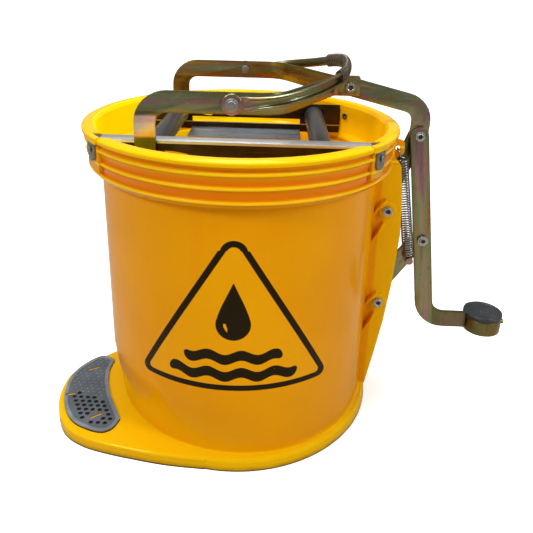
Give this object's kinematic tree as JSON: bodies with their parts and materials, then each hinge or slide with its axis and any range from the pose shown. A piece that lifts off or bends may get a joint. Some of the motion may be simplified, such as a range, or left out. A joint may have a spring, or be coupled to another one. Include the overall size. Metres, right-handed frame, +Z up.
{
  "type": "mop bucket with roller wringer",
  "caption": "Round plastic mop bucket with a foot-pedal roller wringer, a side linkage with return spring, a foot platform and a folding bail handle.",
  "frame": {"origin": "on the floor under the centre of the bucket, at the small round foot under its bottom", "axes": "+Z up along the bucket's axis, +X towards the foot pedal, -Y towards the front of the wringer"},
  "size_m": [0.5094, 0.33, 0.3943],
  "materials": {
    "yellow_plastic": "moulded, glossy",
    "grey_rubber": "moulded tread",
    "bright_steel": "bright zinc",
    "plain_steel": "rolled sheet",
    "dark_steel": "dark rolled sheet",
    "black_roller": "worn, semi-gloss",
    "zinc_plated_steel": "yellow passivated zinc, iridescent",
    "grip_rubber": "wrapped grip",
    "black_rubber": "studded"
  },
  "bodies": {
    "bucket": {"bucket_shell": "yellow_plastic", "foot_tread_pad": "grey_rubber", "wall_eyelet_right": "bright_steel", "wall_eyelet_left": "bright_steel", "front_cross_member": "plain_steel", "rear_cross_member": "dark_steel", "tab_rivet_left": "bright_steel", "tab_rivet_right": "bright_steel", "fixed_axle": "bright_steel", "fixed_axle_nut_front": "bright_steel", "fixed_axle_nut_rear": "bright_steel", "upper_pivot_bolt": "bright_steel", "lower_pivot_bolt": "bright_steel", "upper_spacer_front": "bright_steel", "upper_spacer_rear": "bright_steel", "lower_spacer_front": "bright_steel", "lower_spacer_rear": "bright_steel", "return_spring": "bright_steel"},
    "fixed_roller": {"fixed_roller": "black_roller"},
    "upper_link": {"upper_link": "zinc_plated_steel", "top_pin": "bright_steel"},
    "pedal_lever": {"pedal_lever": "zinc_plated_steel", "pedal_cup": "zinc_plated_steel", "pedal_pad": "black_rubber", "mid_rivet": "bright_steel"},
    "yoke": {"front_arm": "zinc_plated_steel", "rear_arm": "zinc_plated_steel", "upper_arm": "zinc_plated_steel", "arm_clamp_bolt": "bright_steel", "bail_rivet_front": "bright_steel", "bail_rivet_rear": "bright_steel", "moving_axle": "bright_steel", "moving_axle_nut_front": "bright_steel", "moving_axle_nut_rear": "bright_steel"},
    "moving_roller": {"moving_roller": "black_roller"},
    "lower_link": {"lower_link": "zinc_plated_steel", "spring_pin": "zinc_plated_steel"},
    "bail": {"bail_handle": "zinc_plated_steel", "bail_grip": "grip_rubber"}
  },
  "joints": [
    {"name": "pedal_press", "type": "hinge", "parent": "bucket", "child": "upper_link", "pos_m": [0.1586, 0, 0.233], "axis": [0, 1, 0], "range_deg": [0, 28], "stiffness_Nm_per_rad": 6, "springref_deg": -34.38},
    {"name": "lever_turn", "type": "hinge", "parent": "upper_link", "child": "pedal_lever", "pos_m": [0.1885, 0, 0.311], "axis": [0, 1, 0], "range_deg": [-23.5, 0]},
    {"name": "yoke_turn", "type": "hinge", "parent": "upper_link", "child": "yoke", "pos_m": [0.1885, 0, 0.311], "axis": [0, 1, 0], "range_deg": [-23.2, 0]},
    {"name": "lower_link_turn", "type": "hinge", "parent": "bucket", "child": "lower_link", "pos_m": [0.1575, 0, 0.123], "axis": [0, 1, 0], "range_deg": [0, 23.4], "deforming": ["return_spring"]},
    {"name": "moving_roller_spin", "type": "hinge", "parent": "yoke", "child": "moving_roller", "pos_m": [-0.08, 0, 0.309], "axis": [0, 1, 0], "continuous": true},
    {"name": "fixed_roller_spin", "type": "hinge", "parent": "bucket", "child": "fixed_roller", "pos_m": [0.082, 0, 0.309], "axis": [0, 1, 0], "continuous": true},
    {"name": "bail_lift", "type": "hinge", "parent": "yoke", "child": "bail", "pos_m": [-0.002, 0, 0.3615], "axis": [0, 1, 0], "range_deg": [-150, 0]}
  ],
  "couplings": [
    {"joint": "lever_turn", "follows": "pedal_press", "ratio": -0.83538},
    {"joint": "yoke_turn", "follows": "pedal_press", "ratio": -0.8233},
    {"joint": "lower_link_turn", "follows": "pedal_press", "ratio": 0.83238}
  ]
}
